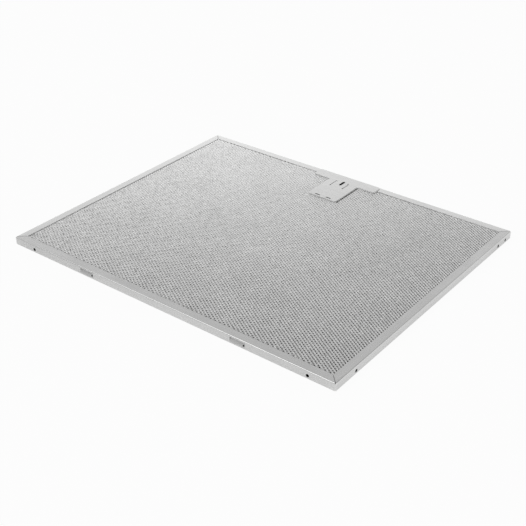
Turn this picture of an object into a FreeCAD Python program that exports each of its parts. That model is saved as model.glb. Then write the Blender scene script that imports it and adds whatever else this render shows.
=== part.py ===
import FreeCAD, Part
import math
import os

from FreeCAD import Vector

# Cooker hood grease filter: a folded channel frame round a pack of expanded metal meshes,
# with a sprung slide latch in the middle of its back edge.
# Millimetres. X runs along the long edge, Y from the hooked front edge to the latched back edge,
# Z up from the underside. Every piece is drawn about the middle of the frame's underside, and is
# set back on export so that the origin lies below the middle of the whole filter, nose included.

# Frame: one strip folded to a channel and round four corners, its flanges mitred
frame_length = 320.0
frame_width = 260.0
frame_depth = 7.0
strip_gauge = 0.6
flange_width = 7.0
bend_inside_radius = 0.2
corner_inside_radius = 0.3
mitre_gap = 0.35
corner_notch = 1.0

# Joint of the strip's two ends, at the right back corner: a lap inside the wall, held by a rivet
lap_length = 17.0
lap_root = 9.0
lap_clearance = 0.05
lap_height = 4.0
rivet_from_corner = 10.2
rivet_diameter = 2.7
rivet_bore = 1.9
rivet_proud = 0.3
rivet_clearance = 0.03

# Drain holes in the walls, near the corners
drain_diameter = 2.7
drain_height = 2.9
drain_from_side = 23.0
drain_from_front = 25.0
drain_from_back = 23.0

# Hook pockets pressed into the front wall: lanced along the top, running out to the wall below
pocket_spacing = 152.0
pocket_length = 14.0
pocket_depth = 1.7
pocket_top = 5.7
pocket_foot = 1.3
pilot_diameter = 1.4
pilot_height = 2.7
pilot_from_end = 1.0

# Cover meshes: strands drawn at seven times their real pitch, with a plain grid of openings
mesh_inset = 3.2
mesh_wall = 0.3
mesh_ridge = 0.4
mesh_seat_clearance = 0.05
strand_angle = 31.3
strand_side = 15.5
strand_slope_share = 0.72
gap_every = 2
gap_edge = 10.0
gap_margin = 1.5

# Inner meshes: crimped foil, laid crosswise, open below one in four of the covers' openings
inner_count = 3
inner_foil = 0.2
inner_pitch = 48.0
inner_clearance = 0.05
inner_angle = 50.0
foil_gap_every = 4

# Latch plate: a tee on the back flange, with its edges turned down to the mesh
plate_gauge = 0.6
plate_setback = 0.2
bar_length = 65.0
bar_reach = 12.6
tongue_width = 29.5
tongue_reach = 47.8
plate_corner_radius = 2.0
plate_edge_chamfer = 0.12
lip_clearance = 0.05
tab_slot_spacing = 11.5
tab_slot_length = 5.0
tab_slot_width = 1.3
lance_spacing = 13.3
lance_offset = -0.8
lance_length = 11.0
lance_width = 0.55
lance_relief = 1.0
lance_leg = 1.6
lance_from_back = 12.7

# Latch housing: a moulded tray under the plate, its rim level with the lower flange
housing_wall = 1.0
housing_clearance = 0.35
rim_overhang = 3.6
rim_clearance = 0.3
rim_corner_radius = 2.5
tab_clearance = 0.25
tab_entry = 0.2
finger_width = 21.0
finger_corner_radius = 3.0

# Latch slide: a moulded block with a finger hollow below and a nose through the back wall
slide_travel = 5.0
slide_clearance = 0.3
slide_length = 26.4
slide_front_bar = 3.5
slide_back_bar = 4.0
slide_roof = 1.2
nose_width = 12.0
nose_thickness = 2.0
nose_reach = 4.0
nose_bevel = 1.2
nose_clearance = 0.3
lug_width = 1.8
lug_length = 2.8
lug_setback = 1.4
lug_entry = 0.2

# Latch spring: a coil between the housing's front wall and the slide
spring_diameter = 4.4
spring_wire = 0.5
spring_turns = 5
spring_runs = 8
spring_end_clearance = 0.05
spigot_diameter = 2.8
spigot_length = 1.5

# Places worked out from the sizes above
side = frame_length / 2
back = frame_width / 2
bend_radius = bend_inside_radius + strip_gauge
corner_radius = corner_inside_radius + strip_gauge
window_side = side - flange_width
window_back = back - flange_width
mid_height = frame_depth / 2

mesh_thickness = mesh_wall + mesh_ridge
mesh_side = side - mesh_inset
mesh_back = back - mesh_inset
lower_mesh_floor = strip_gauge + mesh_seat_clearance
upper_mesh_top = frame_depth - strip_gauge - mesh_seat_clearance
strand_pitch = strand_side * math.sin(math.radians(2 * strand_angle))

plate_floor = frame_depth
plate_top = plate_floor + plate_gauge
plate_back = back - bend_radius - plate_setback
bar_front = back - bar_reach
tongue_front = back - tongue_reach
tongue_side = tongue_width / 2
lip_floor = upper_mesh_top + lip_clearance

housing_side = tongue_side - plate_gauge - housing_clearance
housing_front = tongue_front + plate_gauge + housing_clearance + housing_wall
housing_inner_front = housing_front + housing_wall
housing_top = plate_floor - rim_clearance
rim_back = window_back - rim_clearance
housing_back = rim_back - housing_wall
housing_inner_back = housing_back - housing_wall
tab_place = housing_front + housing_wall / 2
notch_side = housing_side + housing_clearance / 2
notch_front = housing_front - housing_clearance / 2

slide_side = housing_side - housing_wall - slide_clearance
slide_back = housing_inner_back - slide_clearance
slide_front = slide_back - slide_length
slide_floor = strip_gauge + slide_clearance
slide_top = plate_floor - slide_clearance
hollow_front = slide_front + slide_front_bar
hollow_back = slide_back - slide_back_bar
finger_front = hollow_front - slide_travel
nose_tip = back + nose_reach
lug_back = slide_back - lug_setback
lug_front = lug_back - lug_length

row_shift = Vector(0, -nose_reach / 2, 0)
upward = Vector(0, 0, 1)


def block(x_low, x_high, y_low, y_high, z_low, z_high):
    """Plain block between two corners."""
    corner = Vector(x_low, y_low, z_low)
    return Part.makeBox(x_high - x_low, y_high - y_low, z_high - z_low, corner)


def is_upright(edge):
    """Whether an edge runs along Z."""
    first, last = edge.Vertexes[0].Point, edge.Vertexes[-1].Point
    return first.distanceToPoint(last) > 0 and abs(first.z - last.z) == first.distanceToPoint(last)


def rounded_block(x_low, x_high, y_low, y_high, z_low, z_high, radius):
    """Block with its four upright edges rounded."""
    plain = block(x_low, x_high, y_low, y_high, z_low, z_high)
    return plain.makeFillet(radius, [edge for edge in plain.Edges if is_upright(edge)])


def stadium(x_mid, y_low, y_high, width, z_low, z_high):
    """Round-ended bar along Y, for slots and lugs."""
    radius = width / 2
    bar = block(x_mid - radius, x_mid + radius, y_low + radius, y_high - radius, z_low, z_high)
    for y_mid in (y_low + radius, y_high - radius):
        bar = bar.fuse(Part.makeCylinder(radius, z_high - z_low, Vector(x_mid, y_mid, z_low)))
    return bar.removeSplitter()


def prism(points, sweep):
    """Closed outline carried along a vector."""
    return Part.Face(Part.makePolygon(points + points[:1])).extrude(sweep)


def frame_form(inset):
    """The frame's outer form drawn in on every side, with its folds rounded."""
    x_high = side - inset
    y_high = back - inset
    body = rounded_block(-x_high, x_high, -y_high, y_high, inset, frame_depth - inset,
                         corner_radius - inset)
    rims = [edge for edge in body.Edges if edge.BoundBox.ZLength < strip_gauge / 10]
    return body.makeFillet(bend_radius - inset, rims)


def mitre_cuts():
    """Slits along the four mitres, each ending in a notch where the folds meet at the corner."""
    length = math.hypot(flange_width, flange_width) + 2 * mitre_gap
    cuts = []
    for x_sign in (-1, 1):
        for y_sign in (-1, 1):
            is_joint = x_sign > 0 and y_sign > 0
            folds = [(0, bend_radius), (frame_depth - bend_radius, frame_depth)]
            for z_low, z_high in [(0, frame_depth)] if is_joint else folds:
                slit = Part.makeBox(length, mitre_gap, z_high - z_low,
                                    Vector(-mitre_gap, -mitre_gap / 2, 0))
                slit.rotate(Vector(), upward, math.degrees(math.atan2(y_sign, x_sign)))
                slit.translate(Vector(x_sign * window_side, y_sign * window_back, z_low))
                cuts.append(slit)
            for z_low, z_high in folds:
                x_span = sorted((x_sign * side, x_sign * (side - corner_notch)))
                y_span = sorted((y_sign * back, y_sign * (back - corner_notch)))
                cuts.append(block(*x_span, *y_span, z_low, z_high))
    return cuts


def wall_holes():
    """Drain holes through the front and side walls, near the corners."""
    radius = drain_diameter / 2
    depth = 2 * strip_gauge
    cuts = []
    for x_mid in (drain_from_side - side, side - drain_from_side):
        place = Vector(x_mid, -back - depth, drain_height)
        cuts.append(Part.makeCylinder(radius, 2 * depth, place, Vector(0, 1, 0)))
    for y_mid in (drain_from_front - back, back - drain_from_back):
        for x_face in (-side, side):
            place = Vector(x_face - depth, y_mid, drain_height)
            cuts.append(Part.makeCylinder(radius, 2 * depth, place, Vector(1, 0, 0)))
    return cuts


def lap():
    """The strip's end, carried round the joint corner inside the right wall."""
    z_low = mid_height - lap_height / 2
    z_high = mid_height + lap_height / 2
    outer = strip_gauge + lap_clearance
    inner = outer + strip_gauge
    band = rounded_block(-side + outer, side - outer, -back + outer, back - outer, z_low, z_high,
                         corner_inside_radius - lap_clearance)
    band = band.cut(block(-side, side - inner, -back, back - inner, z_low, z_high))
    corner = block(side - lap_root, side, back - lap_length, back, z_low, z_high)
    root = block(side - lap_root, side - lap_root / 2, back - inner, back - strip_gauge, z_low, z_high)
    return band.common(corner).fuse(root)


def rivet_axis(radius, x_low, x_high):
    """Cylinder on the lap rivet's axis."""
    place = Vector(x_low, back - rivet_from_corner, drain_height)
    return Part.makeCylinder(radius, x_high - x_low, place, Vector(1, 0, 0))


def hook_pocket(x_mid):
    """A hook pocket's hollow, its pilot hole, and the pressed sheet that closes it."""
    x_low = x_mid - pocket_length / 2
    x_high = x_mid + pocket_length / 2
    foot = Vector(x_low, -back, pocket_foot)
    brink = Vector(x_low, -back, pocket_top)
    deep = Vector(x_low, -back + pocket_depth, pocket_top)
    run = Vector(pocket_length, 0, 0)
    hollow = prism([foot, brink, deep], run)
    ramp = deep - foot
    inward = Vector(0, ramp.z, -ramp.y).normalize() * strip_gauge
    cheek_run = Vector(strip_gauge, 0, 0)
    section = [foot, deep, deep + inward, foot + inward]
    sheet = prism([point - cheek_run for point in section], run + cheek_run * 2)
    for offset in (cheek_run * -1, run):
        sheet = sheet.fuse(prism([foot + offset, brink + offset, deep + offset], cheek_run))
    pilot_place = Vector(x_high - pilot_from_end - pilot_diameter / 2, -back, pilot_height)
    pilot = Part.makeCylinder(pilot_diameter / 2, pocket_depth + strip_gauge, pilot_place, Vector(0, 1, 0))
    return hollow, pilot, sheet


def make_frame():
    """Channel frame with its mitres, lap joint, drain holes, hook pockets and nose slot."""
    frame = frame_form(0).cut(frame_form(strip_gauge))
    frame = frame.cut(block(-window_side, window_side, -window_back, window_back, 0, frame_depth))
    frame = frame.cut(mitre_cuts()).fuse(lap())
    frame = frame.cut(wall_holes() + [rivet_axis(rivet_diameter / 2, side - flange_width, side)])
    for x_mid in (-pocket_spacing / 2, pocket_spacing / 2):
        hollow, pilot, sheet = hook_pocket(x_mid)
        frame = frame.cut(hollow).fuse(sheet).cut(pilot)
    return frame.cut(nose_opening(back - 2 * strip_gauge, back + strip_gauge)).removeSplitter()


def make_rivet():
    """Tubular rivet through wall and lap, flush outside and proud of the lap inside."""
    x_low = side - 2 * strip_gauge - lap_clearance - rivet_proud
    shank = rivet_axis(rivet_diameter / 2 - rivet_clearance, x_low, side)
    return shank.cut(rivet_axis(rivet_bore / 2, x_low, side))


def sheet_outline(height):
    """A mesh's outline as a prism: the frame's inside less the latch notch."""
    outline = block(-mesh_side, mesh_side, -mesh_back, mesh_back, 0, height)
    return outline.cut(block(-notch_side, notch_side, notch_front, mesh_back, 0, height))


def carried_profile(points, angle):
    """A section across the strands, given as distance and height, carried along the strands."""
    span = 2 * math.hypot(mesh_side, mesh_back)
    sheet = prism([Vector(across, -span / 2, height) for across, height in points], Vector(0, span, 0))
    sheet.rotate(Vector(), upward, angle - 90)
    return sheet


def is_pierced(place):
    """Whether an opening about a place lies in the frame's window and clear of the latch."""
    reach_x = gap_edge * math.cos(math.radians(strand_angle)) + gap_margin
    reach_y = gap_edge * math.sin(math.radians(strand_angle)) + gap_margin
    if abs(place.x) + reach_x > window_side or abs(place.y) + reach_y > window_back:
        return False
    by_housing = abs(place.x) < rim_side() + reach_x and place.y > housing_front - rim_overhang - reach_y
    by_bar = abs(place.x) < bar_length / 2 + reach_x and place.y > bar_front - reach_y
    return not by_housing and not by_bar


def mesh_gaps(angle, every, height):
    """Pierced openings: rhombs between the strands, on a lattice of both strand directions."""
    turn = math.radians(angle)
    along = Vector(math.cos(turn), math.sin(turn), 0)
    other = Vector(math.cos(turn), -math.sin(turn), 0)
    half_along = along * (gap_edge / 2)
    half_other = other * (gap_edge / 2)
    reach = math.ceil(math.hypot(side, back) / strand_side)
    gaps = []
    for i in range(-reach, reach + 1):
        for j in range(-reach, reach + 1):
            place = (along * i + other * j) * (every * strand_side)
            if is_pierced(place):
                corners = [place - half_along - half_other, place + half_along - half_other,
                           place + half_along + half_other, place - half_along + half_other]
                gaps.append(prism(corners, upward * height))
    return gaps


def make_cover_mesh(angle):
    """Expanded mesh lying on z = 0: a sheet ridged along its strands, with pierced openings."""
    ridges = math.ceil(math.hypot(mesh_side, mesh_back) / strand_pitch)
    slope_middle = strand_slope_share * strand_pitch / 2
    first = -ridges * strand_pitch - slope_middle
    section = [(first, 0)]
    for k in range(2 * ridges):
        start = first + k * strand_pitch
        section.append((start, mesh_wall))
        section.append((start + strand_slope_share * strand_pitch, mesh_thickness))
    section.append((first + 2 * ridges * strand_pitch, mesh_wall))
    section.append((first + 2 * ridges * strand_pitch, 0))
    sheet = carried_profile(section, angle).common(sheet_outline(mesh_thickness))
    return sheet.cut(mesh_gaps(angle, gap_every, mesh_thickness))


def make_inner_mesh(index):
    """One crimped foil of the inner pack, each crossing the last."""
    floor = lower_mesh_floor + mesh_thickness
    step = (upper_mesh_top - mesh_thickness - floor) / inner_count
    height = step - inner_clearance
    folds = math.ceil(math.hypot(mesh_side, mesh_back) / inner_pitch)
    lower = []
    for k in range(-2 * folds, 2 * folds + 1):
        rise = (height - inner_foil) * (k % 2)
        lower.append((k * inner_pitch / 2, rise))
    upper = [(across, rise + inner_foil) for across, rise in reversed(lower)]
    foil = carried_profile(lower + upper, inner_angle * (-1) ** index)
    foil = foil.common(sheet_outline(height))
    foil = foil.cut(mesh_gaps(strand_angle, foil_gap_every, height))
    foil.translate(Vector(0, 0, floor + index * step + inner_clearance / 2))
    return foil


def tee(inset, z_low, z_high):
    """The latch plate's outline as a prism, drawn in by inset."""
    half_bar = bar_length / 2 - inset
    half_tongue = tongue_side - inset
    bar = block(-half_bar, half_bar, bar_front + inset, plate_back - inset, z_low, z_high)
    tongue = block(-half_tongue, half_tongue, tongue_front + inset, plate_back - inset, z_low, z_high)
    whole = bar.fuse(tongue).removeSplitter()
    return whole.makeFillet(plate_corner_radius - inset, [e for e in whole.Edges if is_upright(e)])


def lance_cuts(end):
    """One of the two slits that free the plate's middle: relieved in front, with a leg inwards at the back."""
    x_mid = lance_offset + end * lance_spacing / 2
    y_back = back - lance_from_back
    y_front = y_back - lance_length
    x_leg = sorted((x_mid + end * lance_width / 2, x_mid - end * lance_leg))
    return [block(x_mid - lance_width / 2, x_mid + lance_width / 2, y_front, y_back, plate_floor, plate_top),
            block(x_mid - lance_relief / 2, x_mid + lance_relief / 2, y_front, y_front + lance_relief,
                  plate_floor, plate_top),
            block(*x_leg, y_back - lance_width, y_back, plate_floor, plate_top)]


def make_plate():
    """Latch plate: tee with turned-down lips, two lances, lug slot and tab slots."""
    plate = tee(0, plate_floor, plate_top)
    lips = tee(0, lip_floor, plate_floor).cut(tee(plate_gauge, lip_floor, plate_floor))
    plate = plate.fuse(lips.common(block(-side, side, 0, rim_back, lip_floor, plate_floor)))
    plate = plate.removeSplitter()
    edges = [e for e in plate.Edges if e.BoundBox.ZMin > plate_top - plate_gauge / 10]
    plate = plate.makeChamfer(plate_edge_chamfer, edges)
    for lance in (lance_cuts(-1), lance_cuts(1)):
        plate = plate.cut(lance)
    lug_slot_width = lug_width + 2 * slide_clearance
    plate = plate.cut(stadium(0, lug_front - slide_travel - slide_clearance, lug_back + slide_clearance,
                              lug_slot_width, plate_floor, plate_top))
    for x_mid in (-tab_slot_spacing / 2, tab_slot_spacing / 2):
        plate = plate.cut(block(x_mid - tab_slot_length / 2, x_mid + tab_slot_length / 2,
                                tab_place - tab_slot_width / 2, tab_place + tab_slot_width / 2,
                                plate_floor, plate_top))
    return plate.removeSplitter()


def rim_side():
    """Half the width of the housing's rim."""
    return housing_side + rim_overhang


def nose_opening(y_low, y_high):
    """Way for the nose through a wall."""
    half_width = nose_width / 2 + nose_clearance
    half_height = nose_thickness / 2 + nose_clearance
    return block(-half_width, half_width, y_low, y_high, mid_height - half_height,
                 mid_height + half_height)


def make_housing():
    """Moulded tray: rim and floor with the finger opening, walls, and two tabs through the plate."""
    floor = rounded_block(-rim_side(), rim_side(), housing_front - rim_overhang, rim_back, 0, strip_gauge,
                          rim_corner_radius)
    walls = block(-housing_side, housing_side, housing_front, housing_back, 0, housing_top)
    inside = housing_side - housing_wall
    walls = walls.cut(block(-inside, inside, housing_inner_front, housing_inner_back, 0, housing_top))
    housing = floor.fuse(walls)
    half_depth = tab_slot_width / 2 - tab_clearance
    half_length = tab_slot_length / 2 - tab_clearance
    for x_mid in (-tab_slot_spacing / 2, tab_slot_spacing / 2):
        tab = block(x_mid - half_length, x_mid + half_length, tab_place - half_depth,
                    tab_place + half_depth, housing_top, plate_floor + tab_entry)
        housing = housing.fuse(tab)
    finger = rounded_block(-finger_width / 2, finger_width / 2, finger_front, hollow_back, 0, strip_gauge,
                           finger_corner_radius)
    return housing.cut([finger, nose_opening(housing_inner_back, housing_back)]).removeSplitter()


def make_slide():
    """Moulded slide: block with a finger hollow, bevelled nose, guide lug and spring spigot."""
    body = block(-slide_side, slide_side, slide_front, slide_back, slide_floor, slide_top)
    hollow = rounded_block(-finger_width / 2, finger_width / 2, hollow_front, hollow_back, slide_floor,
                           slide_top - slide_roof, finger_corner_radius)
    nose_low = mid_height - nose_thickness / 2
    nose_high = mid_height + nose_thickness / 2
    half_nose = nose_width / 2
    section = [Vector(-half_nose, slide_back, nose_low), Vector(-half_nose, nose_tip, nose_low),
               Vector(-half_nose, nose_tip, nose_high - nose_bevel),
               Vector(-half_nose, nose_tip - nose_bevel, nose_high),
               Vector(-half_nose, slide_back, nose_high)]
    nose = prism(section, Vector(nose_width, 0, 0))
    lug = stadium(0, lug_front, lug_back, lug_width, slide_top, plate_floor + lug_entry)
    spigot = Part.makeCylinder(spigot_diameter / 2, spigot_length,
                               Vector(0, slide_front - spigot_length, mid_height), Vector(0, 1, 0))
    return body.cut(hollow).fuse([nose, lug, spigot]).removeSplitter()


def make_spring():
    """Coil spring along Y, from the housing's front wall to the slide's front face."""
    start = housing_inner_front + spring_end_clearance
    length = slide_front - spring_end_clearance - start
    radius = (spring_diameter - spring_wire) / 2
    runs = spring_turns * spring_runs
    advance = (length - spring_wire) / runs
    route = []
    for k in range(runs + 1):
        turn = 2 * math.pi * k / spring_runs
        route.append(Vector(radius * math.cos(turn), start + spring_wire / 2 + k * advance,
                            mid_height + radius * math.sin(turn)))
    half = spring_wire / 2
    out = Vector(half, 0, 0)
    on = Vector(0, half, 0)
    section = Part.makePolygon([route[0] + out, route[0] + on, route[0] - out, route[0] - on,
                                route[0] + out])
    return Part.makePolygon(route).makePipeShell([section], True, False, 1)


def make_pieces():
    """Every piece by name, in the frame's own place."""
    upper_mesh = make_cover_mesh(-strand_angle)
    upper_mesh.translate(Vector(0, 0, upper_mesh_top - mesh_thickness))
    lower_mesh = make_cover_mesh(strand_angle).mirror(Vector(), upward)
    lower_mesh.translate(Vector(0, 0, lower_mesh_floor + mesh_thickness))
    pieces = {
        "frame": make_frame(),
        "frame_rivet": make_rivet(),
        "top_mesh": upper_mesh,
        "bottom_mesh": lower_mesh,
        "latch_plate": make_plate(),
        "latch_housing": make_housing(),
        "latch_slide": make_slide(),
        "latch_spring": make_spring(),
    }
    for index in range(inner_count):
        pieces[f"inner_mesh_{index + 1}"] = make_inner_mesh(index)
    return pieces


os.makedirs("parts", exist_ok=True)
for node, shape in make_pieces().items():
    shape.translate(row_shift)
    shape.exportStep(f"parts/{node}.step")
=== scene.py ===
import logging
import math
from dataclasses import dataclass
from enum import Enum
from typing import Optional, Union

import bpy
import numpy as np
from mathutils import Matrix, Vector


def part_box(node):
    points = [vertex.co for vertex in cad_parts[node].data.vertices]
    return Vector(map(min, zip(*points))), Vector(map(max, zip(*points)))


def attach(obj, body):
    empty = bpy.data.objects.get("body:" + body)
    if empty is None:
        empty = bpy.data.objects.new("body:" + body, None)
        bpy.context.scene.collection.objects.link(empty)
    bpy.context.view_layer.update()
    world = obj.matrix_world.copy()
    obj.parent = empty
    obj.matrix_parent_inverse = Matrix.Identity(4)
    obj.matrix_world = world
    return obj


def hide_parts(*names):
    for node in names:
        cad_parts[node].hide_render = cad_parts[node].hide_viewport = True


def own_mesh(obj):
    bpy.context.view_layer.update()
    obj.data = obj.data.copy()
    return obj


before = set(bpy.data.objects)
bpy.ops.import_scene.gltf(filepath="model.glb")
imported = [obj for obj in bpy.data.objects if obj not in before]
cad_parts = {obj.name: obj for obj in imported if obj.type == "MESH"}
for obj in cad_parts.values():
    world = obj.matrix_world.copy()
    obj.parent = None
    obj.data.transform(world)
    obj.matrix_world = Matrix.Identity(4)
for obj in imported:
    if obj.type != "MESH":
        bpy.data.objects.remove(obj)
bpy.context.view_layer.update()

# Cooker hood grease filter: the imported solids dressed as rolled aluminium, expanded metal and plastic.
# Lengths are millimetres, and become metres where a mesh, a shader, a lamp or the camera is made.

MM = 0.001
log = logging.getLogger("grease_filter")


class Body(Enum):
    """The two bodies that the pieces ride on."""

    FILTER = "filter"
    SLIDE = "slide"


class Slot(Enum):
    """The record's material slots."""

    FRAME = "frame_aluminium"
    RIVET = "rivet_aluminium"
    MESH = "mesh_aluminium"
    FOIL = "foil_aluminium"
    PLASTIC = "latch_plastic"
    SPRING = "spring_steel"


class Facing(Enum):
    """Which way the raised side of an expanded sheet looks."""

    UP = 1
    DOWN = -1


class Signal:
    """One output socket of a shader; arithmetic on it adds Math nodes."""

    def __init__(self, graph: "Graph", socket: bpy.types.NodeSocket) -> None:
        """Keep the socket and the graph that it belongs to."""
        self.graph = graph
        self.socket = socket

    def _math(self, operation: str, first: "Operand", second: "Operand") -> "Signal":
        """Add one Math node.

        Args:
            operation: The node's operation.
            first: Upper input.
            second: Lower input.

        Returns:
            The node's value.
        """
        return self.graph.node("ShaderNodeMath", {"operation": operation}, {0: first, 1: second})

    def __add__(self, other: "Operand") -> "Signal":
        """Sum."""
        return self._math("ADD", self, other)

    __radd__ = __add__

    def __sub__(self, other: "Operand") -> "Signal":
        """Difference."""
        return self._math("SUBTRACT", self, other)

    def __rsub__(self, other: "Operand") -> "Signal":
        """Difference from a number."""
        return self._math("SUBTRACT", other, self)

    def __mul__(self, other: "Operand") -> "Signal":
        """Product."""
        return self._math("MULTIPLY", self, other)

    __rmul__ = __mul__

    def __truediv__(self, other: "Operand") -> "Signal":
        """Quotient."""
        return self._math("DIVIDE", self, other)

    def __abs__(self) -> "Signal":
        """Size without sign."""
        return self._math("ABSOLUTE", self, 0.0)

    def __gt__(self, other: "Operand") -> "Signal":
        """One where this is greater, else nought."""
        return self._math("GREATER_THAN", self, other)

    def __lt__(self, other: "Operand") -> "Signal":
        """One where this is less, else nought; a number that is greater than a signal comes here too."""
        return self._math("LESS_THAN", self, other)

    def at_least(self, other: "Operand") -> "Signal":
        """The greater of the two."""
        return self._math("MAXIMUM", self, other)

    def at_most(self, other: "Operand") -> "Signal":
        """The lesser of the two."""
        return self._math("MINIMUM", self, other)

    def clamped(self) -> "Signal":
        """Kept between nought and one."""
        return self.at_least(0.0).at_most(1.0)


Operand = Union[Signal, float]
Triple = tuple[float, float, float]
Stops = tuple[tuple[float, float], ...]
BLACK: Triple = (0.0, 0.0, 0.0)
WHITE = (1.0, 1.0, 1.0, 1.0)


class Graph:
    """The node tree of one material or of the world, built node by node."""

    def __init__(self, tree: bpy.types.NodeTree) -> None:
        """Take over an emptied tree."""
        self.tree = tree
        tree.nodes.clear()

    def node(self, kind: str, settings: dict, sockets: dict,
             output: Union[int, str] = 0) -> Optional[Signal]:
        """Add any node.

        Args:
            kind: The node's type.
            settings: Attributes set first; "stops" holds a ramp's positions and grey levels.
            sockets: Values or signals by input name or number.
            output: The output to hand on.

        Returns:
            That output, or nothing where the node has none.
        """
        made = self.tree.nodes.new(kind)
        for key, value in settings.items():
            if key == "stops":
                self._set_stops(made.color_ramp, value)
            else:
                setattr(made, key, value)
        for key, value in sockets.items():
            if isinstance(value, Signal):
                self.tree.links.new(value.socket, made.inputs[key])
            else:
                made.inputs[key].default_value = value
        return Signal(self, made.outputs[output]) if len(made.outputs) else None

    @staticmethod
    def _set_stops(ramp: bpy.types.ColorRamp, stops: Stops) -> None:
        """Set a ramp's stops, each a position and a grey level."""
        while len(ramp.elements) < len(stops):
            ramp.elements.new(1.0)
        for element, (position, level) in zip(ramp.elements, stops):
            element.position = position
            element.color = (level, level, level, 1.0)

    def place(self) -> Signal:
        """Object coordinates, in metres."""
        return self.node("ShaderNodeTexCoord", {}, {}, "Object")

    def axes(self, vector: Signal) -> tuple[Signal, Signal, Signal]:
        """The three parts of a vector.

        Args:
            vector: The vector to take apart.

        Returns:
            Its x, y and z.
        """
        first = self.node("ShaderNodeSeparateXYZ", {}, {0: vector})
        outputs = first.socket.node.outputs
        return first, Signal(self, outputs[1]), Signal(self, outputs[2])

    def stretched(self, vector: Signal, scale: Triple) -> Signal:
        """A vector times a fixed scale on each axis.

        Args:
            vector: The vector.
            scale: The three scales.

        Returns:
            The stretched vector.
        """
        return self.node("ShaderNodeVectorMath", {"operation": "MULTIPLY"}, {0: vector, 1: scale})

    def ramp(self, value: Signal, stops: Stops) -> Signal:
        """A grey level read off a row of stops.

        Args:
            value: Where to read it, from nought to one.
            stops: Positions and their grey levels.

        Returns:
            The level.
        """
        return self.node("ShaderNodeValToRGB", {"stops": stops}, {0: value})

    def ray(self, kind: str) -> Signal:
        """One where the ray is of a kind, else nought.

        Args:
            kind: The Light Path output.

        Returns:
            The share.
        """
        return self.node("ShaderNodeLightPath", {}, {}, kind)

    def noise(self, vector: Signal, scale: float, detail: float, rough: float = 0.5) -> Signal:
        """Fractal noise about one half.

        Args:
            vector: Where to read it.
            scale: Cells to a metre of the vector.
            detail: Octaves.
            rough: Share of the finer octaves.

        Returns:
            The noise, from nought to one.
        """
        sockets = {"Vector": vector, "Scale": scale, "Detail": detail, "Roughness": rough}
        return self.node("ShaderNodeTexNoise", {"noise_dimensions": "3D"}, sockets, "Fac")

    def blend(self, share: Operand, first: Union[Signal, Triple], second: Triple) -> Signal:
        """A colour between two.

        Args:
            share: Nought for the first, one for the second.
            first: First colour, or a signal that carries it.
            second: Second colour.

        Returns:
            The mixed colour.
        """
        settings = {"data_type": "RGBA", "clamp_factor": True}
        start = first if isinstance(first, Signal) else (*first, 1.0)
        return self.node("ShaderNodeMix", settings, {0: share, 6: start, 7: (*second, 1.0)}, 2)

    def bump(self, height: Signal, strength: float, distance: float) -> Signal:
        """A surface normal from a height.

        Args:
            height: The height field, in units of distance.
            strength: How much of it shows.
            distance: Metres that a height of one stands for.

        Returns:
            The normal.
        """
        return self.node("ShaderNodeBump", {}, {"Strength": strength, "Distance": distance, "Height": height})


@dataclass(frozen=True)
class Finish:
    """A surface finish; each kind writes its own shader."""

    name: str
    tint: Triple

    def material(self) -> bpy.types.Material:
        """The finish as a material, made once.

        Returns:
            The material.
        """
        made = bpy.data.materials.get(self.name)
        if made is None:
            made = bpy.data.materials.new(self.name)
            made.use_nodes = True
            graph = Graph(made.node_tree)
            graph.node("ShaderNodeOutputMaterial", {}, {"Surface": self.shader(graph)})
        return made

    def shader(self, graph: Graph) -> Signal:
        """The finish's closing shader, which each kind gives."""
        raise NotImplementedError

    def shade(self, share: float) -> Triple:
        """The tint made darker or lighter.

        Args:
            share: What to multiply it by.

        Returns:
            The colour, at most white.
        """
        return tuple(min(1.0, part * share) for part in self.tint)

    def wear(self, obj: bpy.types.Object) -> None:
        """Give a piece this finish alone.

        Args:
            obj: The piece.
        """
        obj.data.materials.clear()
        obj.data.materials.append(self.material())


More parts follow.
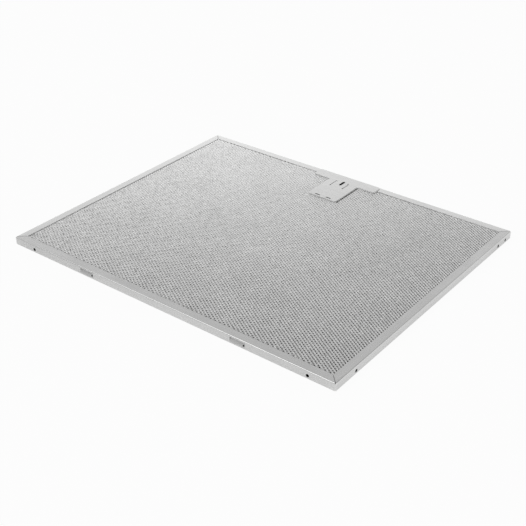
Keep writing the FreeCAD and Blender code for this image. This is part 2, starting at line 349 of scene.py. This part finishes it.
@dataclass(frozen=True)
class RolledSheet(Finish):
    """Satin rolled aluminium: rolling lines along each limb, cloudy bloom, flanges pressed up by the meshes.

    The frame's plan gives half_length, half_width and middle. Rolling lines lie across_lines to a metre, and
    are drawn out to along_lines. The sheared and edge fields are for cut edges, the slots fields keep the edges
    of the plate's own slots out of them, and the recess fields are for the hook pockets; the darkening of
    front-facing cut edges and of the recess ramps is painted shade in the colour.
    """

    roughness: float = 0.22
    half_length: float = 160.0
    half_width: float = 130.0
    middle: float = -2.0
    half_height: float = 3.5
    bulge: float = 0.012
    along_lines: float = 14.0
    across_lines: float = 1500.0
    grain_height: float = 0.000014
    sheared_from: float = 6.9
    sheared_roughness: float = 0.6
    sheared_below: float = 0.5
    edge_tilt: float = 0.0
    # painted shade on front-facing cut edges, as a share towards black
    edge_painted_shade: float = 0.0
    slots_half: float = 14.3
    slots_front: float = 81.0
    recess_at: float = 76.0
    recess_half: float = 7.2
    recess_half_height: float = 2.4
    recess_depth: float = 1.7
    recess_slack: float = 1.05
    # painted shade in the hook recesses, as a share towards black at full depth
    recess_painted_shade: float = 0.36

    def shader(self, graph: Graph) -> Signal:
        """Rolling lines turn at the mitres, where the distance to the two nearest edges is the same.

        Upright faces further in than a flange's width are sheared edges, matt and rounded over by their tilt;
        those that look to the front may be darkened as well, partly a duller cut edge and partly a painted
        shade for the shadow below the plate's front edge. The ramps of the hook recesses are painted darker
        with their depth below the front wall, a painted shade.

        Args:
            graph: The material's graph.

        Returns:
            The shader.
        """
        place = graph.place()
        x, y, z = graph.axes(place)
        to_side = self.half_length * MM - abs(x)
        to_end = self.half_width * MM - abs(y - self.middle * MM)
        on_side = to_end > to_side
        inward = to_side.at_most(to_end)
        _, ahead, up = graph.axes(graph.node("ShaderNodeTexCoord", {}, {}, "Normal"))
        height = abs(z - self.half_height * MM)
        outline = ((abs(x) > self.slots_half * MM) + (y < self.slots_front * MM)).at_most(1.0)
        sheared = (inward > self.sheared_from * MM) * (abs(up) < self.sheared_below) * outline
        over = sheared * height * self.edge_tilt
        # the hook recess ramps by depth, the mask of a painted shade
        sunk = (y - (self.middle - self.half_width) * MM) / (self.recess_depth * MM)
        beside = abs(abs(x) - self.recess_at * MM)
        in_recess = (beside < self.recess_half * MM) * (height < self.recess_half_height * MM)
        recess = in_recess * (sunk < self.recess_slack) * sunk.clamped()
        fine, drawn = self.across_lines, self.along_lines
        along = graph.noise(graph.stretched(place, (drawn, fine, fine)), 1.0, 3.0)
        across = graph.noise(graph.stretched(place, (fine, drawn, fine)), 1.0, 3.0)
        lines = along + on_side * (across - along)
        cloud = graph.noise(place, 34.0, 4.0, 0.6)
        speck = graph.noise(place, 900.0, 2.0, 0.5)
        sheen = 0.5 + (lines - 0.5) * 0.9 + (cloud - 0.5) * 0.9
        lit = graph.blend(sheen, self.shade(0.93), self.shade(1.07))
        # painted shade: recess ramps darker with depth, front-facing cut edges darker, both blended towards
        # black
        dark = recess * self.recess_painted_shade + sheared * (ahead < -0.5) * self.edge_painted_shade
        grain = (lines * 0.6 + cloud * 3.0 + speck * 0.4) * self.grain_height
        smooth = self.roughness + (cloud - 0.5) * 0.16 + (lines - 0.5) * 0.12 + (speck - 0.5) * 0.05
        sockets = {
            "Base Color": graph.blend(dark, lit, BLACK),
            "Metallic": 1.0,
            "Roughness": smooth + sheared * (self.sheared_roughness - smooth),
            "Normal": graph.bump(grain + inward * self.bulge - over, 1.0, 1.0),
        }
        return graph.node("ShaderNodeBsdfPrincipled", {}, sockets)


@dataclass(frozen=True)
class MeshStrand(Finish):
    """Bright slit and stretched aluminium: each strand takes the light a little differently."""

    roughness: float = 0.26
    spread: float = 0.12

    def shader(self, graph: Graph) -> Signal:
        """Patches a strand long differ in brightness and gloss.

        Args:
            graph: The material's graph.

        Returns:
            The shader.
        """
        place = graph.place()
        strand = graph.noise(graph.stretched(place, (420.0, 700.0, 700.0)), 1.0, 1.0)
        cloud = graph.noise(place, 26.0, 3.0, 0.5)
        share = 0.5 + (strand - 0.5) * 0.8 + (cloud - 0.5) * 0.6
        sockets = {
            "Base Color": graph.blend(share, self.shade(1.0 - self.spread), self.shade(1.0 + self.spread)),
            "Metallic": 1.0,
            "Roughness": self.roughness + (strand - 0.5) * 0.2,
        }
        return graph.node("ShaderNodeBsdfPrincipled", {}, sockets)


@dataclass(frozen=True)
class MouldedPlastic(Finish):
    """Black moulded plastic with a fine spark-eroded grain."""

    roughness: float = 0.5

    def shader(self, graph: Graph) -> Signal:
        """Grain a third of a millimetre across, over faint flow marks.

        Args:
            graph: The material's graph.

        Returns:
            The shader.
        """
        place = graph.place()
        grain = graph.noise(place, 2800.0, 3.0, 0.55)
        flow = graph.noise(graph.stretched(place, (60.0, 160.0, 160.0)), 1.0, 2.0)
        sockets = {
            "Base Color": graph.blend(flow, self.shade(0.8), self.shade(1.3)),
            "Roughness": self.roughness + (grain - 0.5) * 0.2 + (flow - 0.5) * 0.12,
            "Normal": graph.bump(grain, 0.4, 0.00008),
        }
        return graph.node("ShaderNodeBsdfPrincipled", {}, sockets)


@dataclass(frozen=True)
class DrawnWire(Finish):
    """Drawn steel wire with faint die lines and heat tint."""

    roughness: float = 0.28

    def shader(self, graph: Graph) -> Signal:
        """Die lines are fine noise, and the tint wanders over a few millimetres.

        Args:
            graph: The material's graph.

        Returns:
            The shader.
        """
        place = graph.place()
        die = graph.noise(place, 5200.0, 2.0)
        tint = graph.noise(place, 300.0, 2.0)
        sockets = {
            "Base Color": graph.blend(tint, self.shade(0.8), self.shade(1.15)),
            "Metallic": 1.0,
            "Roughness": self.roughness + (die - 0.5) * 0.2,
        }
        return graph.node("ShaderNodeBsdfPrincipled", {}, sockets)


@dataclass(frozen=True)
class PaleFloor(Finish):
    """White studio floor that the camera sees near white, with the filter's shadow kept.

    Its gleam in reflections is lifted right of lift_from and falls off left of fall_from: painted light on the
    floor's right and painted shade on its left, seen only in reflections.
    """

    whiteness: float = 0.945
    gleam: float = 0.32
    lift: float = 0.14
    lift_from: float = 150.0
    lift_over: float = 10.0
    fall: float = 0.12
    fall_from: float = -20.0
    fall_over: float = 130.0

    def shader(self, graph: Graph) -> Signal:
        """Matt paint, mixed with plain white for rays of the camera and of reflections.

        Args:
            graph: The material's graph.

        Returns:
            The shader.
        """
        paint = graph.node("ShaderNodeBsdfDiffuse", {}, {"Color": (*self.tint, 1.0)})
        white = graph.node("ShaderNodeEmission", {}, {"Color": WHITE, "Strength": 1.0})
        x, _, _ = graph.axes(graph.place())
        lifted = ((x - self.lift_from * MM) / (self.lift_over * MM)).clamped()
        fallen = ((self.fall_from * MM - x) / (self.fall_over * MM)).clamped()
        # painted light on the floor's right and painted shade on its left, seen only in reflections
        gleam = self.gleam + lifted * self.lift - fallen * self.fall
        share = (graph.ray("Is Camera Ray") * self.whiteness).at_least(graph.ray("Is Glossy Ray") * gleam)
        return graph.node("ShaderNodeMixShader", {}, {0: share, 1: paint, 2: white})


def piece(name: str, points: np.ndarray, faces: list[np.ndarray], finish: Finish,
          smooth: bool) -> bpy.types.Object:
    """Make a mesh object at the origin from whole arrays.

    Args:
        name: The piece's name.
        points: Corners in millimetres, one a row.
        faces: Arrays of corner numbers, one face a row; each array has faces of one size.
        finish: The finish it wears.
        smooth: Whether its faces shade smoothly.

    Returns:
        The object, linked to the scene.
    """
    used, renumbered = np.unique(np.concatenate([part.ravel() for part in faces]), return_inverse=True)
    sizes = np.concatenate([np.full(len(part), part.shape[1]) for part in faces])
    mesh = bpy.data.meshes.new(name)
    mesh.vertices.add(len(used))
    mesh.vertices.foreach_set("co", (points[used] * MM).astype(np.float32).ravel())
    mesh.loops.add(len(renumbered))
    mesh.loops.foreach_set("vertex_index", renumbered.astype(np.int32).ravel())
    mesh.polygons.add(len(sizes))
    mesh.polygons.foreach_set("loop_start", np.concatenate([[0], np.cumsum(sizes)[:-1]]).astype(np.int32))
    mesh.polygons.foreach_set("use_smooth", np.full(len(sizes), smooth))
    mesh.update(calc_edges=True)
    mesh.validate()
    made = bpy.data.objects.new(name, mesh)
    bpy.context.scene.collection.objects.link(made)
    finish.wear(made)
    return made


def fit(made: bpy.types.Object, body: Body, slot: Slot, *nodes: str) -> bpy.types.Object:
    """Set a new piece on its body and in place of its nodes.

    Args:
        made: The piece.
        body: The body it rides on.
        slot: The record's slot of its finish; not used.
        *nodes: The solids that it stands for.

    Returns:
        The piece.
    """
    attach(made, body.value)
    if nodes:
        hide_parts(*nodes)
    log.info("%s: %d faces, for %s", made.name, len(made.data.polygons), ", ".join(nodes) or "no node")
    return made


def dress(node: str, finish: Finish) -> None:
    """Give a solid that is kept its finish.

    Args:
        node: The solid's node.
        finish: The finish.
    """
    finish.wear(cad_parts[node])
    log.info("%s: solid kept, finish %s", node, finish.name)


def box_mm(node: str) -> tuple[np.ndarray, np.ndarray]:
    """The box of a node.

    Args:
        node: The node.

    Returns:
        Its lowest and highest corners in millimetres.
    """
    low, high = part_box(node)
    return np.array(low) / MM, np.array(high) / MM


@dataclass
class ExpandedSheet:
    """One layer of expanded metal: strands round rhombic openings, slit in rows and pulled apart.

    long_way and short_way are the lattice's repeats. rising and falling are the widths of the strands that run
    up and down to the right, and each has a foot that reaches out further below. scatter, unrest and wander
    make the openings uneven, bulge lets the sheet rise where nothing holds it down, and sag is a slow wave.
    """

    node: str
    finish: Finish
    slot: Slot
    long_way: float
    short_way: float
    rising: float
    falling: float
    rising_foot: float
    falling_foot: float
    relief: float
    depth: float
    level: float
    facing: Facing = Facing.UP
    parts: int = 1
    edge: float = 1.2
    rim_overhang: float = 3.6
    notch_gap: float = 0.1
    wander: float = 0.02
    unrest: float = 0.04
    scatter: float = 0.012
    bulge: float = 0.0
    bulge_over: float = 1.5
    flange: float = 7.0
    tongue_half: float = 14.75
    bar_front: float = 115.4
    under_plate: float = 0.7
    sag: float = 0.06
    sag_span: tuple[float, float] = (23.0, 31.0)
    crimp: float = 0.0
    crimp_pitch: float = 18.0
    crimp_turn: float = 50.0
    seed: int = 1

    def openings(self) -> tuple[np.ndarray, np.ndarray, np.ndarray]:
        """Middles of the openings on a centred lattice, every other row set half a long way along.

        Returns:
            Their x and y by row and column, and whether each one is pierced: those on the sheet and clear
            of the latch are, and the rings outside only give the border strands their outer side.
        """
        low, high = box_mm(self.node)
        rows = int((high[1] - low[1]) / (self.short_way / 2)) + 8
        columns = int((high[0] - low[0]) / self.long_way) + 8
        row, column = np.mgrid[0:rows, 0:columns]
        x = (column - columns // 2 + 0.5 * (row % 2)) * self.long_way + (low[0] + high[0]) / 2
        y = (row - rows // 2) * self.short_way / 2 + (low[1] + high[1]) / 2
        rim_low, rim_high = box_mm("latch_housing")
        reach_x = self.long_way / 2
        reach_y = self.short_way / 2
        on_sheet = np.abs(x - (low[0] + high[0]) / 2) < (high[0] - low[0]) / 2 - self.edge - reach_x
        on_sheet &= (y > low[1] + self.edge + reach_y) & (y < high[1] - self.edge - reach_y)
        notch_side = rim_high[0] - self.rim_overhang + self.notch_gap + reach_x
        notch_front = rim_low[1] + self.rim_overhang - self.notch_gap - reach_y
        return x, y, on_sheet & ~((np.abs(x) < notch_side) & (y > notch_front))

    def sway(self, x: np.ndarray, y: np.ndarray) -> np.ndarray:
        """Height of the layer: the crimp, a triangle wave across its turn, a slow wave and the bulge.

        Args:
            x: Places across.
            y: Places along.

        Returns:
            The heights.
        """
        turn = math.radians(self.crimp_turn)
        phase = (x * math.cos(turn) + y * math.sin(turn)) / self.crimp_pitch
        zigzag = 4 * np.abs(phase - np.floor(phase + 0.5)) - 1
        slow = np.sin(x / self.sag_span[0] + 0.7 * self.seed) * np.sin(y / self.sag_span[1] + 1.3 * self.seed)
        raised = self.facing.value * self.bulge * self.free(x, y)
        return self.level + self.crimp * zigzag + self.sag * slow + raised

    def free(self, x: np.ndarray, y: np.ndarray) -> np.ndarray:
        """How free a place is of what holds the sheet down: nought below flange and latch, one in the open.

        It is a smooth step of the distance inwards from the flange's inner edge, or outwards from the latch
        plate's tongue and bar or the tray's rim, whichever is least.

        Args:
            x: Places across.
            y: Places along.

        Returns:
            The shares.
        """
        low, high = box_mm("frame")
        plate_low, plate_high = box_mm("latch_plate")
        rim_low, rim_high = box_mm("latch_housing")
        to_wall = np.minimum(high[0] - np.abs(x), np.minimum(y - low[1], high[1] - y))
        inside = to_wall - self.flange
        tongue = np.maximum(np.abs(x) - self.tongue_half, plate_low[1] - y)
        bar = np.maximum(np.abs(x) - plate_high[0], self.bar_front - y)
        rim = np.maximum(np.abs(x) - rim_high[0], rim_low[1] - y)
        held = rim if self.facing is Facing.DOWN else np.minimum(tongue, bar) + self.under_plate
        share = np.clip(np.minimum(inside, held) / self.bulge_over, 0, 1)
        return share * share * (3 - 2 * share)

    def corners(self, x: np.ndarray, y: np.ndarray) -> np.ndarray:
        """Corner points: four round each opening above, then four round its narrower foot.

        An opening is the lattice's cell, whose sides run along the rising and the falling strands, with half
        a strand taken off each side, and at the foot the strand's own reach as well. Its corners lie at its
        middle plus or minus half the sum and half the difference of its two sides. The front corner stands up
        by the relief and the back corner lies down by it, so that every strand leans the same way, as slit
        metal does when it is pulled. The foot lies deeper by the depth.

        Args:
            x: Middles of the openings.
            y: Middles of the openings.

        Returns:
            Points by opening and corner: right, back, left and front above, then the same four at the foot.
        """
        chance = np.random.default_rng(self.seed)
        angle = math.atan2(self.short_way, self.long_way)
        whole = self.long_way * math.sin(angle)
        uneven = chance.normal(0, self.scatter, x.shape)
        lean = self.relief + chance.normal(0, self.unrest, x.shape)
        x_shift = chance.normal(0, self.wander, x.shape)
        y_shift = chance.normal(0, self.wander, x.shape)
        nought = np.zeros_like(x)
        rings = []
        for spread, drop in ((0, 0.0), (2, self.depth)):
            up_side = 1 - (self.falling + spread * self.falling_foot) / whole + uneven
            down_side = 1 - (self.rising + spread * self.rising_foot) / whole + uneven
            half_sum, half_gap = (up_side + down_side) / 4, (up_side - down_side) / 4
            right_x, right_y = half_sum * self.long_way, half_gap * self.short_way
            back_x, back_y = half_gap * self.long_way, half_sum * self.short_way
            px = np.stack([x + right_x, x + back_x, x - right_x, x - back_x], axis=-1) + x_shift[..., None]
            py = np.stack([y + right_y, y + back_y, y - right_y, y - back_y], axis=-1) + y_shift[..., None]
            rise = np.stack([nought, -lean, nought, lean], axis=-1) - drop
            rings.append(np.stack([px, py, self.sway(px, py) + self.facing.value * rise], axis=-1))
        return np.concatenate(rings, axis=-2)

    def strips(self, pierced: np.ndarray, x: np.ndarray, low: float, high: float) -> list[np.ndarray]:
        """Faces of the strands and bonds between two x limits, closed where a strand or a bond is missing.

        A strand lies between two neighbouring openings of which at least one is pierced: it has a top, an
        underside and two flanks. A bond joins four strands, and has a top and an underside.

        Args:
            pierced: Whether each opening is pierced.
            x: Middles of the openings.
            low: Lower limit in x.
            high: Upper limit in x.

        Returns:
            Quadrilaterals as corner numbers.
        """
        rows, columns = pierced.shape
        row, column = np.mgrid[1:rows - 1, 1:columns - 1]
        odd = row % 2
        number = np.arange(rows * columns).reshape(rows, columns)
        here = number[row, column]
        right = number[row, column + 1]
        back_right = number[row + 1, column + odd]
        back_left = number[row + 1, column - 1 + odd]
        front_right = number[row - 1, column + odd]
        flat = pierced.ravel()
        within = ((x >= low) & (x < high)).ravel()
        rising = np.zeros(rows * columns, bool)
        falling = np.zeros(rows * columns, bool)
        rising[here] = flat[here] | flat[back_right]
        falling[here] = flat[here] | flat[back_left]
        bond = (rising[here] | falling[front_right] | rising[front_right] | falling[right]) & within[here]
        rising &= within
        falling &= within

        def corner(opening: np.ndarray, which: int) -> np.ndarray:
            """Number of one of an opening's points."""
            return opening * 8 + which

        def chosen(mask: np.ndarray, *corners: np.ndarray) -> np.ndarray:
            """Faces where the mask holds, one a row."""
            return np.stack([part[mask] for part in corners], axis=-1)

        def slab(mask: np.ndarray, *corners: np.ndarray) -> list[np.ndarray]:
            """A top through the given corners, and the underside below it."""
            return [chosen(mask, *corners), chosen(mask, *[part + 4 for part in corners[::-1]])]

        def wall(mask: np.ndarray, first: np.ndarray, second: np.ndarray) -> np.ndarray:
            """A face from one top edge down to the foot."""
            return chosen(mask, first, second, second + 4, first + 4)

        up, down = rising[here], falling[here]
        quads = [
            *slab(up, corner(here, 0), corner(back_right, 3), corner(back_right, 2), corner(here, 1)),
            wall(up, corner(here, 0), corner(here, 1)),
            wall(up, corner(back_right, 2), corner(back_right, 3)),
            *slab(down, corner(here, 1), corner(back_left, 0), corner(back_left, 3), corner(here, 2)),
            wall(down, corner(here, 1), corner(here, 2)),
            wall(down, corner(back_left, 3), corner(back_left, 0)),
            *slab(bond, corner(here, 0), corner(front_right, 1), corner(right, 2), corner(back_right, 3)),
        ]
        ends = [
            (rising[here], corner(here, 0), corner(back_right, 3)),
            (falling[front_right], corner(front_right, 1), corner(here, 0)),
            (rising[front_right], corner(right, 2), corner(front_right, 1)),
            (falling[right], corner(back_right, 3), corner(right, 2)),
        ]
        for strand, first, second in ends:
            quads.append(wall(bond & ~strand, first, second))
            quads.append(wall(strand & ~bond, second, first))
        faces = np.concatenate(quads)
        return [faces[:, ::-1] if self.facing is Facing.DOWN else faces]

    def build(self) -> list[bpy.types.Object]:
        """Make the layer, in as many pieces side by side as it is set to.

        Returns:
            The pieces.
        """
        x, y, pierced = self.openings()
        points = self.corners(x, y).reshape(-1, 3)
        limits = np.linspace(x.min() - 1, x.max() + 1, self.parts + 1)
        made = []
        for index in range(self.parts):
            faces = self.strips(pierced, x, limits[index], limits[index + 1])
            name = f"{self.node}_metal_{index + 1}"
            metal = piece(name, points, faces, self.finish, False)
            made.append(fit(metal, Body.FILTER, self.slot, self.node))
        return made


@dataclass
class MeshPack:
    """The filter's meshes: two covers of fine expanded metal and three crimped layers between them.

    The covers' falling strands are broad and flat, and the rising ones are ridges with wide feet.
    """

    long_way: float = 4.4
    short_way: float = 2.69
    rising: float = 0.2
    falling: float = 0.86
    rising_foot: float = 0.4
    falling_foot: float = 0.3
    relief: float = -0.05
    depth: float = 0.62
    bulge: float = 0.3
    below_brink: float = 0.1
    inner_long_way: float = 8.2
    inner_short_way: float = 5.0
    inner_strand: float = 1.9
    inner_foot: float = 0.1
    inner_relief: float = 0.12
    inner_depth: float = 0.25
    inner_wander: float = 0.12
    inner_crimp: float = 0.2
    inner_turn: float = 50.0
    cover: Finish = MeshStrand("cover_strand", (0.895, 0.895, 0.89))
    # the inner layers are aluminium coloured near black, a painted shade for the gloom inside the pack
    foil: Finish = MeshStrand("foil_strand_painted_shade", (0.16, 0.16, 0.16), roughness=0.4)

    def build(self) -> None:
        """Make both covers and the layers between."""
        for node, facing, seed in (("top_mesh", Facing.UP, 3), ("bottom_mesh", Facing.DOWN, 5)):
            low, high = box_mm(node)
            brink = high[2] if facing is Facing.UP else low[2]
            level = brink - facing.value * (abs(self.relief) + self.below_brink)
            ExpandedSheet(
                node, self.cover, Slot.MESH, self.long_way, self.short_way, self.rising, self.falling,
                self.rising_foot, self.falling_foot, self.relief, self.depth, level, facing,
                parts=2, bulge=self.bulge, seed=seed,
            ).build()
        for index in (1, 2, 3):
            node = f"inner_mesh_{index}"
            low, high = box_mm(node)
            level = (low[2] + high[2]) / 2
            ExpandedSheet(
                node, self.foil, Slot.FOIL, self.inner_long_way, self.inner_short_way, self.inner_strand,
                self.inner_strand, self.inner_foot, self.inner_foot, self.inner_relief, self.inner_depth,
                level, wander=self.inner_wander, crimp=self.inner_crimp,
                crimp_turn=self.inner_turn * (-1) ** index, seed=10 + index,
            ).build()


@dataclass
class FrameStrip:
    """The folded channel frame and the rivet of its lap."""

    sheet: Finish = RolledSheet("rolled_frame", (0.84, 0.84, 0.836), edge_tilt=0.5)
    tube: Finish = DrawnWire("rivet_tube", (0.22, 0.22, 0.22), roughness=0.5)

    def build(self) -> None:
        """Dress the frame and its rivet."""
        dress("frame", self.sheet)
        dress("frame_rivet", self.tube)


@dataclass
class Latch:
    """The sprung latch: its plate, the moulded tray and slide, and the coil spring."""

    # the plate's front-facing cut edges take a painted shade for the shadow below them
    plate: Finish = RolledSheet("rolled_plate", (0.84, 0.84, 0.836), bulge=0.006, sheared_below=0.8,
                                edge_tilt=0.5, edge_painted_shade=0.15)
    plastic: Finish = MouldedPlastic("latch_moulding", (0.022, 0.022, 0.024))
    wire: Finish = DrawnWire("spring_wire", (0.55, 0.55, 0.56))
    wire_diameter: float = 0.5
    wire_steps: int = 181
    wire_sides: int = 10
    tip: float = 0.02
    turns: float = 5.0
    end_turns: float = 0.75
    end_rise: float = 0.42
    travel: float = 5.0

    def spring_line(self, share: np.ndarray) -> tuple[np.ndarray, np.ndarray]:
        """Centre line of the coil: a helix along Y whose first and last turns lie almost flat.

        Args:
            share: Place along the wire, from nought to one.

        Returns:
            The points, and their directions, found from neighbouring points.
        """
        low, high = box_mm("latch_spring")
        radius = (high[0] - low[0] - self.wire_diameter) / 2
        turn = 2 * math.pi * self.turns * share
        flat = self.end_turns / self.turns
        climb = np.clip((share - flat) / (1 - 2 * flat), 0, 1)
        start = low[1] + self.wire_diameter / 2
        closed = self.end_rise * (np.minimum(share, flat) / flat + np.maximum(share - 1 + flat, 0) / flat)
        y = start + closed + climb * (high[1] - self.wire_diameter / 2 - 2 * self.end_rise - start)
        middle = (low[2] + high[2]) / 2
        line = np.stack([radius * np.cos(turn), y, middle + radius * np.sin(turn)], axis=-1)
        heading = np.gradient(line, axis=0)
        return line, heading / np.linalg.norm(heading, axis=1, keepdims=True)

    def spring(self) -> bpy.types.Object:
        """The coil: a circle carried along the helix, drawn in to a tip at both ends so that it closes.

        Returns:
            The spring.
        """
        sides = self.wire_sides
        line, heading = self.spring_line(np.linspace(0, 1, self.wire_steps))
        line = np.concatenate([line[:1], line[:1], line, line[-1:], line[-1:]])
        heading = np.concatenate([heading[:1], heading[:1], heading, heading[-1:], heading[-1:]])
        width = np.ones(len(line))
        width[[0, -1]] = self.tip
        out = np.cross(heading, np.array([0.0, 1.0, 0.0]))
        out /= np.linalg.norm(out, axis=1, keepdims=True)
        side = np.cross(heading, out)
        turn = np.linspace(0, 2 * math.pi, sides, endpoint=False)
        ring = out[:, None] * np.cos(turn)[None, :, None] + side[:, None] * np.sin(turn)[None, :, None]
        points = line[:, None] + ring * (self.wire_diameter / 2 * width)[:, None, None]
        number = np.arange(len(line) * sides).reshape(len(line), sides)
        onward = np.roll(number, -1, axis=1)
        quads = np.stack([number[:-1], number[1:], onward[1:], onward[:-1]], axis=-1).reshape(-1, 4)
        caps = [number[:1], number[-1:, ::-1]]
        made = piece("latch_coil", points.reshape(-1, 3), [quads, *caps], self.wire, True)
        fit(made, Body.FILTER, Slot.SPRING, "latch_spring")
        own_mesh(made)
        return made

    def build(self) -> None:
        """Dress the plate, tray and slide, and make the spring."""
        dress("latch_plate", self.plate)
        dress("latch_housing", self.plastic)
        dress("latch_slide", self.plastic)
        self.spring()


@dataclass
class Studio:
    """Pale floor, soft light all round and the camera of the photograph.

    The ramps of the light hold positions and levels. backdrop, room and skirt go by height, from the horizon
    to the zenith; room_by_side goes from left to right.
    """

    azimuth: float = 37.76
    elevation: float = 31.27
    distance: float = 800.2
    target: Triple = (27.62, -39.76, 7.0)
    focal_pixels: float = 1011.0
    image_pixels: float = 526.0
    floor_side: float = 8000.0
    floor_drop: float = 0.02
    backdrop: Stops = (
        (0.0, 1.45), (0.3, 1.3), (0.42, 0.85), (0.48, 0.54), (0.54, 0.5),
        (0.64, 0.54), (0.78, 0.32), (0.88, 0.32), (0.97, 0.8), (1.0, 0.8),
    )
    backdrop_fade: float = 0.85
    backdrop_fade_to: float = 0.55
    room: Stops = ((0.0, 0.1), (0.45, 0.25), (0.55, 0.4), (0.62, 1.0), (0.7, 1.0), (0.8, 0.8), (1.0, 0.7))
    room_by_side: Stops = (
        (0.0, 1.0), (0.16, 0.9), (0.19, 1.6), (0.24, 1.2), (0.27, 1.05),
        (0.5, 1.5), (0.62, 1.5), (0.67, 1.0), (0.74, 0.22), (1.0, 0.22),
    )
    skirt: Stops = ((0.0, 0.45), (0.27, 0.45), (0.37, 0.0), (1.0, 0.0))
    skirt_share: float = 0.4
    skirt_gain: float = 2.0
    skirt_right: float = 0.6
    turn_slope: float = 2.5
    turn_lean: float = 0.1
    key_azimuth: float = -30.0
    key_elevation: float = 50.0
    key_reach: float = 1800.0
    key_side: float = 900.0
    key_power: float = 2.0

    def direction(self, azimuth: float, elevation: float) -> Vector:
        """The way from the filter to a place around it.

        Args:
            azimuth: Degrees from the front towards the right.
            elevation: Degrees above the floor.

        Returns:
            A unit vector.
        """
        turn, tilt = math.radians(azimuth), math.radians(elevation)
        return Vector((math.sin(turn) * math.cos(tilt), -math.cos(turn) * math.cos(tilt), math.sin(tilt)))

    def camera(self) -> None:
        """Set the camera where the photograph was taken from."""
        data = bpy.data.cameras.new("photo_camera")
        data.sensor_fit = "HORIZONTAL"
        data.sensor_width = 36.0
        data.lens = data.sensor_width * self.focal_pixels / self.image_pixels
        data.clip_end = 50.0
        made = bpy.data.objects.new("photo_camera", data)
        back = self.direction(self.azimuth, self.elevation)
        made.location = (Vector(self.target) + back * self.distance) * MM
        made.rotation_euler = back.to_track_quat("Z", "Y").to_euler()
        bpy.context.scene.collection.objects.link(made)
        bpy.context.scene.camera = made

    def floor(self) -> None:
        """Lay the floor under the filter: one square facing up."""
        half, level = self.floor_side / 2, -self.floor_drop
        corners = [[-half, -half, level], [half, -half, level], [half, half, level], [-half, half, level]]
        paint = PaleFloor("pale_floor", (0.86, 0.86, 0.86))
        made = piece("studio_floor", np.array(corners), [np.array([[0, 1, 2, 3]])], paint, False)

    def world(self) -> None:
        """Soft light from every side, white where the camera sees it.

        Behind the filter hangs a backdrop that is bright below and fades to the right. Before it lies a room
        whose light goes by height and by side, with a skirt of light low down that is stronger at the right.
        """
        world = bpy.data.worlds.new("studio_world")
        bpy.context.scene.world = world
        world.use_nodes = True
        graph = Graph(world.node_tree)
        x, y, z = graph.axes(graph.node("ShaderNodeTexCoord", {}, {}, "Generated"))
        rightward = x.at_least(0.0)
        fade = rightward.at_most(self.backdrop_fade_to) * self.backdrop_fade
        far = graph.ramp(z, self.backdrop) * (1.0 - fade)
        skirt_share = self.skirt_share + (rightward * self.skirt_gain).at_most(self.skirt_right)
        room = graph.ramp(z, self.room) * graph.ramp(x * 0.5 + 0.5, self.room_by_side)
        near = room + graph.ramp(z, self.skirt) * skirt_share
        forward = (0.5 - y * self.turn_slope + x * self.turn_lean).clamped()
        level = far + forward * (near - far)
        strength = level + graph.ray("Is Camera Ray") * (1.0 - level)
        light = graph.node("ShaderNodeBackground", {}, {"Color": WHITE, "Strength": strength})
        graph.node("ShaderNodeOutputWorld", {}, {"Surface": light})

    def key_lamp(self) -> None:
        """Hang one square soft lamp aimed at the filter."""
        data = bpy.data.lights.new("key_lamp", "AREA")
        data.size = self.key_side * MM
        data.energy = self.key_power
        made = bpy.data.objects.new("key_lamp", data)
        back = self.direction(self.key_azimuth, self.key_elevation)
        made.location = back * self.key_reach * MM
        made.rotation_euler = back.to_track_quat("Z", "Y").to_euler()
        bpy.context.scene.collection.objects.link(made)

    def build(self) -> None:
        """Set up camera, floor, light and lamp."""
        self.camera()
        self.floor()
        self.world()
        self.key_lamp()
        bpy.context.scene.view_settings.view_transform = "Standard"


def main() -> None:
    """Build the scene."""
    logging.basicConfig(level=logging.INFO, format="%(name)s: %(message)s")
    Studio().build()
    FrameStrip().build()
    MeshPack().build()
    Latch().build()


if __name__ == "__main__":
    main()
